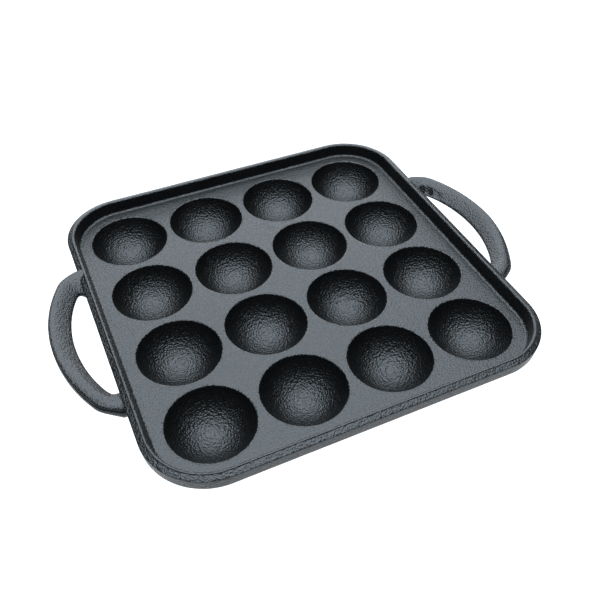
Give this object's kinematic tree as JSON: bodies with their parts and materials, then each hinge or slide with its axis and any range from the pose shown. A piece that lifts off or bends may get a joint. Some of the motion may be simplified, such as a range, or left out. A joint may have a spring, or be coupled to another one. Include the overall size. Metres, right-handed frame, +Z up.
{
  "type": "takoyaki pan",
  "caption": "Square cast-iron pan with a raised rim, a grid of round bottomed wells for ball shaped dumplings, and bowed loop handles on opposite sides",
  "frame": {"origin": "on the resting plane under the middle of the tray", "axes": "+X runs through the middle of the handle on the right, +Y points to the far side of the tray, +Z is up"},
  "size_m": [0.2642, 0.2154, 0.0279],
  "materials": {
    "seasoned_iron": "black seasoned, pebbled, half matt"
  },
  "bodies": {
    "root": {"cooking_plate": "seasoned_iron", "rim": "seasoned_iron", "handle_left": "seasoned_iron", "handle_right": "seasoned_iron", "well_r1_c1": "seasoned_iron", "well_r1_c2": "seasoned_iron", "well_r1_c3": "seasoned_iron", "well_r1_c4": "seasoned_iron", "well_r2_c1": "seasoned_iron", "well_r2_c2": "seasoned_iron", "well_r2_c3": "seasoned_iron", "well_r2_c4": "seasoned_iron", "well_r3_c1": "seasoned_iron", "well_r3_c2": "seasoned_iron", "well_r3_c3": "seasoned_iron", "well_r3_c4": "seasoned_iron", "well_r4_c1": "seasoned_iron", "well_r4_c2": "seasoned_iron", "well_r4_c3": "seasoned_iron", "well_r4_c4": "seasoned_iron"}
  },
  "joints": []
}
